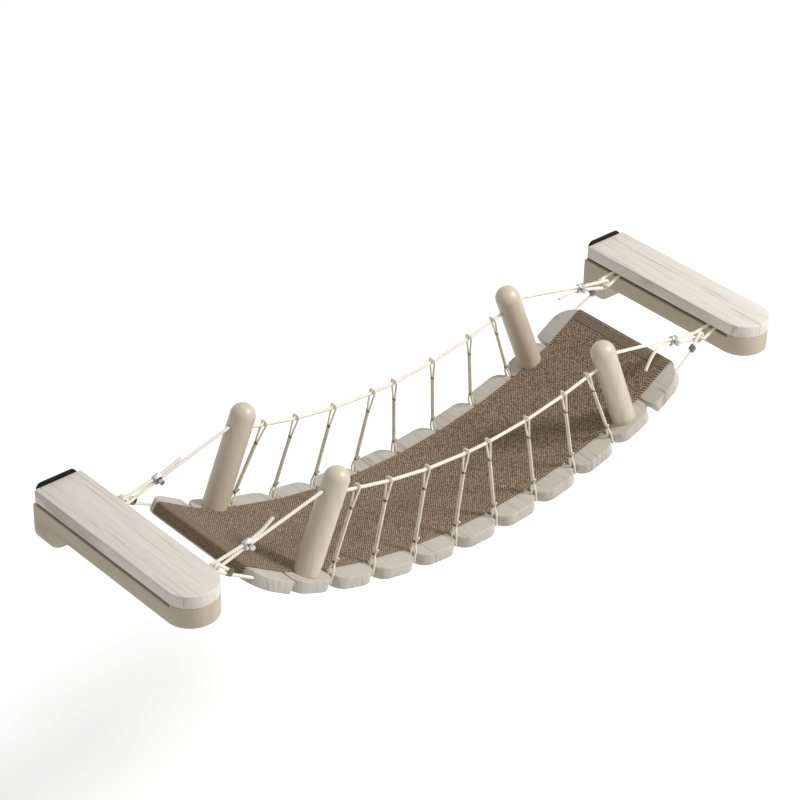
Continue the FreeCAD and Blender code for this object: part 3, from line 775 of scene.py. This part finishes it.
def show_slices(bm, name, material, first, last, ends=True):
    """Slices a mesh over the deck at the planks' middles, and if asked sets the two end pieces on the end
    planks.
    """
    made = []
    for j in range(first, last):
        part = show(sliced(bm, j, j + 1), "%s_%d" % (name, j), material, None)
        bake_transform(part)
        made.append(part)
    if ends:
        for j, low, high in ((first, None, first), (last, last, None)):
            made.append(show(sliced(bm, low, high), "%s_end_%d" % (name, j), material,
                             "deck_%d" % j))
    bm.free()
    return made


print("a rope over the deck takes", PLANKS - 1, "slices and two ends")

# %% [markdown]
# ### Rope routes
# At the hanging point a rope goes round a small loop that comes out of the arm, doubles back and is
# held: a deck rope by a pressed sleeve, a handrail by a clamp with a thumbscrew. The routes repeat
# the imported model, so the rope meets its holes.

# %% Find the ropes' ends
DECK_ROPE_R = 0.0023
LOOP_ROPE_R = 0.0021
STRAND = 0.00255                     # half the distance between a doubled rope's strands
EYE_R = 0.00575
EYE_SHIFT = 0.00285
FERRULE_AT = 0.019
FERRULE_LENGTH = 0.008
CLAMP_AT = 0.050
CLAMP_LENGTH = 0.010
MOUTH_STAND = 0.001
RAIL_LOW = -0.004
RAIL_CURVE = 0.70
HANGER_TOP_X = (-0.196, -0.143, -0.079, -0.012, 0.026, 0.094, 0.160, 0.204)


def at_y(p, y):
    return Vector((p.x, y, p.z))


def eye(side, row, shift, toward, tail, last, over):
    """Doubled end of a rope round its loop, and the unit vectors along it and across it."""
    o = at_y(hang[side], DECK_Y + row * (RAIL_HALF + shift))
    e = (toward - o).normalized()
    n = e.cross(Vector((0, 1, 0))).normalized()
    n = (n if n.z > 0 else -n) * over
    pts = [o + e * tail + n * STRAND, o + e * (tail - last) + n * STRAND,
           o - e * EYE_R + n * EYE_R, o - e * EYE_R - n * EYE_R,
           o + e * (tail - last) - n * STRAND, o + e * tail - n * STRAND]
    return pts, e, n


def post_mouths(side, row):
    axes = plank_axes(POST_PLANK[side])
    reach = POST_R + MOUTH_STAND
    return [axes @ Vector((s * reach, row * RAIL_HALF, HOLE_LEVEL)) for s in (-1, 1)]


def rail_point(x, row):
    return Vector((x, DECK_Y + row * RAIL_HALF, RAIL_LOW + RAIL_CURVE * x * x))


def deck_end(side, row):
    toward = at_y(knots[0 if side < 0 else -1], DECK_Y + row * HOLE_HALF)
    return eye(side, row, EYE_SHIFT, toward, FERRULE_AT + FERRULE_LENGTH / 2, FERRULE_LENGTH, 1)


def rail_end(side, row):
    toward = post_mouths(side, row)[0 if side < 0 else 1]
    return eye(side, row, -EYE_SHIFT, toward, CLAMP_AT + CLAMP_LENGTH / 2, CLAMP_LENGTH, -side)


print("left front handrail starts at", tuple(round(v, 3) for v in rail_end(-1, -1)[0][0]))

# %% [markdown]
# ### Deck ropes and handrails
# A deck rope runs through all the planks and bends with the deck. A handrail does so between its
# posts only. Past a post it hangs from the arm, so there it is cut and rides with its clamp.


# %% Draw the deck ropes and handrails
def deck_rope(row):
    y = DECK_Y + row * HOLE_HALF
    middle = [at_y(k, y) for k in knots]
    pts = deck_end(-1, row)[0] + middle + deck_end(1, row)[0][::-1]
    return rope_mesh("deck_rope", dense(pts), DECK_ROPE_R)


def handrail(row):
    over = [rail_point(x, row) for x in HANGER_TOP_X]
    middle = post_mouths(-1, row) + over + post_mouths(1, row)
    pts = rail_end(-1, row)[0] + middle + rail_end(1, row)[0][::-1]
    return rope_mesh("handrail", dense(pts), DECK_ROPE_R)


for where, row in ROWS.items():
    bm, length = deck_rope(row)
    pieces = show_slices(bm, "deck_rope_" + where, rope_cotton, 1, PLANKS)
    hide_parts("deck_rope_" + where)
    print("deck rope", where, round(length, 3), "m")
    bm, length = handrail(row)
    between = sliced(bm, *POST_PLANK.values())
    for place, ends in (("left", (None, POST_PLANK[-1])), ("right", (POST_PLANK[1], None))):
        show(sliced(bm, *ends), "rail_end_%s_%s" % (place, where), rope_cotton,
             place + "_rail_ends")
    bm.free()
    pieces = show_slices(between, "handrail_" + where, rope_cotton, 2, PLANKS - 1, ends=False)
    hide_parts("handrail_" + where)
    print("handrail", where, round(length, 3), "m")

# %% [markdown]
# ### Sleeves
# The sleeves on the deck ropes are short oval tubes of zinc, pressed shut round both strands. A
# cone with equal ends is spread to an oval and its rims are bevelled.


# %% Press the sleeves
SLEEVE_WALL = 0.0009
SLEEVE_EASE = 0.0005


def frame_of(origin, along, across):
    z = along.normalized()
    x = (across - z * across.dot(z)).normalized()
    y = z.cross(x)
    return Matrix.Translation(origin) @ Matrix((x, y, z)).transposed().to_4x4()


def sleeve(name, centre, along, across, body):
    radius = DECK_ROPE_R + SLEEVE_WALL
    bm = bmesh.new()
    bmesh.ops.create_cone(bm, cap_ends=True, segments=32, radius1=radius, radius2=radius,
                          depth=FERRULE_LENGTH)
    for v in bm.verts:
        v.co.x += math.copysign(STRAND, v.co.x) if abs(v.co.x) > 1e-6 else 0
    rims = [e for e in bm.edges if e.calc_face_angle(0) > math.radians(60)]
    bevel(bm, rims, SLEEVE_EASE, 3)
    bmesh.ops.transform(bm, matrix=frame_of(centre, along, across), verts=bm.verts)
    return show(bm, name, dull_wire, body)


for quarter, (side, row) in QUARTERS.items():
    pts, e, n = deck_end(side, row)
    centre = (pts[0] + pts[1] + pts[4] + pts[5]) / 4
    sleeve("sleeve_" + quarter, centre, e, n, "deck_%d" % (1 if side < 0 else PLANKS))
print("pressed", len(QUARTERS), "sleeves")

# %% [markdown]
# ### Bracket loops
# A closed loop of rope sits round a screw inside each arm and comes out of the slot.

# %% Draw the bracket loops
SCREW_R = 0.002
TOUCH_GAP = 0.0006
LOOP_SPREAD = 0.0094
LOOP_MOUTH = 0.4
LOOP_REACH = 0.024
MOUTH_OUT = 0.001
KERF_MIDDLE = hang[-1].z + 0.0055


def bracket_loop(side, row):
    inner = side * (abs(hang[side].x) + LOOP_REACH)
    near = SCREW_R + LOOP_ROPE_R + TOUCH_GAP
    wide = near + (LOOP_SPREAD - near) * LOOP_MOUTH
    back = inner + side * (SCREW_INSET + near)
    mouth = inner - side * MOUTH_OUT
    y = DECK_Y + row * RAIL_HALF
    tip = hang[side]
    pts = [Vector((back, y - near, KERF_MIDDLE)), Vector((back, y + near, KERF_MIDDLE)),
           Vector((mouth, y + wide, KERF_MIDDLE)), Vector((tip.x, y + LOOP_SPREAD, tip.z)),
           Vector((tip.x, y - LOOP_SPREAD, tip.z)), Vector((mouth, y - wide, KERF_MIDDLE))]
    pts = dense(pts + pts[:1], 0.006)[:-1]
    return rope_mesh("bracket_loop", pts, LOOP_ROPE_R, closed=True)


for quarter, (side, row) in QUARTERS.items():
    name = "bracket_loop_" + quarter
    bm, length = bracket_loop(side, row)
    loop = show(bm, "laid_" + name, rope_cotton, "arms")
    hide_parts(name)
print("bracket loops", round(length * 1000), "mm round")

# %% [markdown]
# ### Free tails
# Each handrail rope ends a few centimetres past its clamp, cut square. A tail's route repeats the
# points of the model, and a smooth line runs through them.

# %% Draw the tails
TAIL_POINTS = {
    ("left", "front"): ((-0.36313, -0.24359, 0.01909), (-0.35046, -0.24382, 0.02323),
                        (-0.33881, -0.24403, 0.02972), (-0.32818, -0.24424, 0.03776)),
    ("left", "rear"): ((-0.36313, -0.06341, 0.01909), (-0.34672, -0.06312, 0.02352),
                       (-0.33076, -0.06283, 0.02936)),
    ("right", "front"): ((0.36198, -0.24359, 0.01412), (0.34218, -0.24393, 0.01694),
                         (0.32520, -0.24417, 0.00638), (0.31735, -0.24423, -0.01202)),
    ("right", "rear"): ((0.36198, -0.06341, 0.01412), (0.34515, -0.06312, 0.01652),
                        (0.32872, -0.06287, 0.01215)),
}


for (place, where), points in TAIL_POINTS.items():
    tail, spline = rope_line("free_tail_%s_%s" % (place, where), points, DECK_ROPE_R, 16, 5)
    length = spline.calc_length()
    tail.data.materials.append(tail_cotton)
    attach(tail, place + "_rail_ends")
    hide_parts("tail_%s_%s" % (place, where))
    print("tail", place, where, round(length * 1000, 1), "mm")

# %% [markdown]
# ### Hangers
# A hanger is a thin cord. It goes under the deck rope in the gap between two planks, up through a
# wire crimp, and as two close strands to a second crimp and over the handrail. Its route is drawn
# first, as points that both the cord and its crimps use.

# %% Route the hangers
HANGER_R = 0.0014
HANGER_BEND = 0.013
LOWER_CRIMP = 0.025
UPPER_CRIMP = 0.76
HANGER_FLARE = 1.15
CRIMP_R = 0.0033
WIRE_R = 0.00045
PAIR = HANGER_R + 0.00025
CRIMP_REACH = 0.002                  # straight cord on each side of a lower crimp
CRIMP_SQUEEZE = 0.62
CUT_END = 0.0075                     # the cord's cut end over the lower crimp
CUT_LEAN = 0.001
TURNS = (-1.1, -0.1, 0.9)            # levels of a crimp's turns, in wire widths


def hanger_places(k, row):
    """Directions and points that a hanger in gap k shares with its crimps."""
    foot = at_y(knots[k], DECK_Y + row * HOLE_HALF)
    top = rail_point(HANGER_TOP_X[k - 2], row)
    n = (plank_axes(k).col[2].xyz + plank_axes(k + 1).col[2].xyz).normalized()
    bend = foot + n * HANGER_BEND
    way = (top - bend).normalized()
    side = (Vector((0, 1, 0)) - way * way.y).normalized()
    low = bend + way * (LOWER_CRIMP - HANGER_BEND)
    high = bend + way * ((top - bend).length * UPPER_CRIMP)
    return foot, top, n, way, side, bend, low, high


def hanger(foot, top, n, way, side, bend, low, high):
    round_rope = DECK_ROPE_R + HANGER_R + TOUCH_GAP
    wide = round_rope * HANGER_FLARE
    sideways = Vector((0, 1, 0))
    cut_end = low + way * CUT_END - side * (PAIR + 2.2 * HANGER_R) - sideways * CUT_LEAN
    pts = [cut_end, low + way * 0.0015 - side * (PAIR + 0.4 * HANGER_R),
           low - way * CRIMP_REACH - side * PAIR, bend - side * round_rope,
           foot - n * round_rope - sideways * round_rope,
           foot - n * round_rope + sideways * round_rope, bend + side * round_rope,
           low + side * PAIR, high + side * PAIR,
           top + way * round_rope + side * wide, top + way * round_rope - side * wide,
           high - side * PAIR, low + way * CRIMP_REACH - side * PAIR]
    return rope_mesh("hanger", dense(pts, 0.004), HANGER_R)


print("first hanger stands at", tuple(round(v, 3) for v in hanger_places(2, -1)[0]))

# %% [markdown]
# A crimp is a few turns of wire. Each turn is a ring that a spin makes from a small circle. Cord
# and crimps stand over a bend of the deck, between two planks.


# %% Draw the hangers
def wire_crimp(name, centre, way, side):
    """Three turns of wire pressed round both strands."""
    bm = bmesh.new()
    for turn in TURNS:
        ring = bmesh.ops.create_circle(bm, segments=8, radius=WIRE_R,
                                       matrix=Matrix.Rotation(math.pi / 2, 4, "X"))["verts"]
        bmesh.ops.translate(bm, vec=(CRIMP_R - WIRE_R, 0, turn * WIRE_R * 2), verts=ring)
        edges = {e for v in ring for e in v.link_edges}
        bmesh.ops.spin(bm, geom=ring + list(edges), cent=(0, 0, 0), axis=(0, 0, 1),
                       angle=2 * math.pi, steps=24, use_merge=True)
    bmesh.ops.recalc_face_normals(bm, faces=bm.faces)
    squeeze = Matrix.Diagonal((1.0, CRIMP_SQUEEZE, 1.0, 1.0))
    bmesh.ops.transform(bm, matrix=frame_of(centre, way, side) @ squeeze, verts=bm.verts)
    return show(bm, name, dull_wire, None)


cord_lengths = []
for where, row in ROWS.items():
    for k in range(2, PLANKS - 1):
        name = "hanger_%s_%d" % (where, k)
        foot, top, n, way, side, bend, low, high = hanger_places(k, row)
        bm, length = hanger(foot, top, n, way, side, bend, low, high)
        cord_lengths.append(round(length * 1000))
        made = [show(bm, "laid_" + name, thin_cotton, None),
                wire_crimp("wire_low_%s_%d" % (where, k), low, way, side),
                wire_crimp("wire_high_%s_%d" % (where, k), high, way, side)]
        for piece in made:
            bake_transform(piece)
        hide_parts(name)
print("hangers of", cord_lengths, "mm of cord")

# %% [markdown]
# ## Mat
# The mat lies on the planks and turns down over both ends of the deck. Seen from the side, its
# middle layer is a line a little above the wood. The line is softened at its bends, because thick
# cloth does not crease there.

# %% Find the mat's line
MAT_THICK = 0.003
MAT_GAP = 0.00035
MAT_WRAP = 0.015
NOTCH_GAP = 0.0006
NOTCH_DEPTH = 0.05
NOTCH_LIFT = 0.01


def mat_line():
    """Points of the cloth's middle layer over the deck, from one turned end to the other."""
    up = PLANK_THICK / 2 + MAT_GAP + MAT_THICK / 2
    reach = HALF_PLANK + MAT_GAP + MAT_THICK / 2
    low = PLANK_THICK / 2 - MAT_WRAP
    first, last = plank_axes(1), plank_axes(PLANKS)
    pts = [first @ Vector((-reach, 0, low)), first @ Vector((-reach, 0, up))]
    for j in range(1, PLANKS):
        here, there = plank_axes(j), plank_axes(j + 1)
        lean = (here.col[2].xyz + there.col[2].xyz).normalized()
        half = math.acos(min(1.0, here.col[2].xyz.dot(there.col[2].xyz))) / 2
        pts.append(knots[j] + lean * (up / math.cos(half)))
    return pts + [last @ Vector((reach, 0, up)), last @ Vector((reach, 0, low))]


def line_places(points):
    """Function from a distance along a line to the point there, and the line's length."""
    lengths = [(b - a).length for a, b in zip(points, points[1:])]

    def place(s):
        for i, run in enumerate(lengths):
            if s <= run or i == len(lengths) - 1:
                way = (points[i + 1] - points[i]).normalized()
                return points[i] + way * s
            s -= run
    return place, sum(lengths)


place_on, mat_length = line_places(mat_line())
STEP = 0.004                         # grid along the mat
ROW_STEP = 0.008                     # grid across it
SOFTEN = 0.004                       # how far the cloth rounds off a bend


def soft_place(s):
    """Mean of the line a little before and after, which rounds each bend."""
    spots = [place_on(min(max(s + d * SOFTEN, 0), mat_length)) for d in (-1, -0.5, 0, 0.5, 1)]
    return sum(spots, Vector()) / len(spots)


print("mat line", round(mat_length, 4), "m")

# %% [markdown]
# The mat is cut flat, so it starts as a flat grid whose UV map is its own size in metres. Each
# point then moves to its place on the line. Solidify gives the cloth its thickness, and four rods
# cut the notches for the posts. Last it is sliced like the ropes.

# %% Lay the mat
bm = bmesh.new()
columns = round(mat_length / STEP)
rows = round(MAT_WIDTH / ROW_STEP)
bmesh.ops.create_grid(bm, x_segments=columns, y_segments=rows, size=0.5)
uv_layer = bm.loops.layers.uv.new("cloth_uv")
for face in bm.faces:
    for corner in face.loops:
        corner[uv_layer].uv = ((corner.vert.co.x + 0.5) * mat_length,
                               (corner.vert.co.y + 0.5) * MAT_WIDTH)
for v in bm.verts:
    spot = soft_place((v.co.x + 0.5) * mat_length)
    v.co = Vector((spot.x, DECK_Y + v.co.y * MAT_WIDTH, spot.z))
bmesh.ops.recalc_face_normals(bm, faces=bm.faces)
if sum(f.normal.z for f in bm.faces) < 0:
    bmesh.ops.reverse_faces(bm, faces=bm.faces)
bmesh.ops.solidify(bm, geom=bm.faces[:], thickness=MAT_THICK)
bmesh.ops.recalc_face_normals(bm, faces=bm.faces)
notches = []
for side, row in QUARTERS.values():
    axes = plank_axes(POST_PLANK[side]) @ Matrix.Translation((0, row * RAIL_HALF, NOTCH_LIFT))
    notches.append(rod_cutter(POST_R + NOTCH_GAP, NOTCH_DEPTH, axes))
bm = combined(bm, notches)
slices = show_slices(bm, "mat", mat_weave, 1, PLANKS)
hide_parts("mat")
for piece in slices:
    j = int(piece.name.split("_")[-1])
print("mat", round(mat_length * 1000), "mm long in", len(slices), "slices")

# %% [markdown]
# ## Stage
# The photograph is a cut-out on white. The floor far below and the sky are white to the camera and
# in what the object reflects or lets through, while they light the object only gently. The Light
# Path node tells these rays apart.

# %% Set the floor and the sky
FLOOR_DROP = 0.75
FLOOR_HALF = 12
FLOOR_GLOW = 0.45
SKY_LIGHT = 0.48


def seen_directly(tree):
    """1 for rays from the camera, a reflection or a clear material, 0 for the light itself."""
    path = node(tree, "ShaderNodeLightPath").outputs
    passed = maths(tree, "MAXIMUM", path["Is Glossy Ray"], path["Is Transmission Ray"])
    return maths(tree, "MAXIMUM", path["Is Camera Ray"], passed)


def stage_floor():
    bm = bmesh.new()
    bmesh.ops.create_grid(bm, x_segments=1, y_segments=1, size=FLOOR_HALF)
    bmesh.ops.translate(bm, vec=(0, 0, -FLOOR_DROP), verts=bm.verts)
    piece = solid("pale_floor", bm)
    made, tree, shader = blank_material("pale_floor")
    plug(tree, shader, {"Base Color": (0.85, 0.85, 0.85, 1), "Roughness": 0.9})
    strength = maths(tree, "MULTIPLY", seen_directly(tree), FLOOR_GLOW)
    glow = node(tree, "ShaderNodeEmission", {"Strength": strength})
    both = node(tree, "ShaderNodeAddShader", {0: shader.outputs[0], 1: glow.outputs[0]})
    plug(tree, tree.nodes["Material Output"], {"Surface": both.outputs[0]})
    piece.data.materials.append(made)


def sky():
    world = bpy.data.worlds.new("studio")
    world.use_nodes = True
    tree = world.node_tree
    strength = maths(tree, "MULTIPLY_ADD", seen_directly(tree), 1 - SKY_LIGHT, SKY_LIGHT)
    plug(tree, tree.nodes["Background"], {"Color": (1, 1, 1, 1), "Strength": strength})
    bpy.context.scene.world = world


stage_floor()
sky()
print("floor", FLOOR_DROP, "m below the object's frame")

# %% [markdown]
# ## Light
# One large soft lamp stands on the right and in front, so the left sides of the arms and posts
# fall into a mild shade. A disk gives the round soft shadow of a studio lamp.

# %% Set the lamp
KEY_AT = (1.9, -2.3, 2.7)
KEY_SIZE = 1.0
KEY_POWER = 122
KEY_AIM = (0, DECK_Y, -0.05)
lamp = bpy.data.lights.new("key", "AREA")
lamp.shape = "DISK"
lamp.size = KEY_SIZE
lamp.energy = KEY_POWER
key = placed("key", lamp)
key.location = KEY_AT
key.rotation_euler = (Vector(KEY_AIM) - Vector(KEY_AT)).to_track_quat("-Z", "Y").to_euler()

# %% [markdown]
# ## Camera
# The camera was solved from the arms' corners in the photograph. A long lens far away keeps the
# two arms nearly the same size. Its three angles are a turn about the vertical, a tilt down and a
# small roll.

# %% Set the camera
CAMERA_AT = (-2.0270, -2.3527, 1.9514)
CAMERA_TURN = math.radians(42.02)
CAMERA_TILT = math.radians(32.79)
CAMERA_ROLL = math.radians(1.38)
FOCAL_PIXELS = 2743.2
IMAGE_PIXELS = 800
SENSOR = 36.0


def camera():
    look = Vector((math.sin(CAMERA_TURN) * math.cos(CAMERA_TILT),
                   math.cos(CAMERA_TURN) * math.cos(CAMERA_TILT), -math.sin(CAMERA_TILT)))
    right = Vector((math.cos(CAMERA_TURN), -math.sin(CAMERA_TURN), 0))
    up = right.cross(look)
    r = right * math.cos(CAMERA_ROLL) + up * math.sin(CAMERA_ROLL)
    u = up * math.cos(CAMERA_ROLL) - right * math.sin(CAMERA_ROLL)
    data = bpy.data.cameras.new("camera")
    data.sensor_width = SENSOR
    data.sensor_fit = "HORIZONTAL"
    data.lens = FOCAL_PIXELS * SENSOR / IMAGE_PIXELS
    data.clip_end = 50
    piece = placed("camera", data)
    turned = Matrix((r, u, -look)).transposed().to_4x4()
    piece.matrix_world = Matrix.Translation(CAMERA_AT) @ turned
    bpy.context.scene.camera = piece


camera()
bpy.context.scene.view_settings.view_transform = "Standard"
print("lens", round(bpy.context.scene.camera.data.lens, 1), "mm")
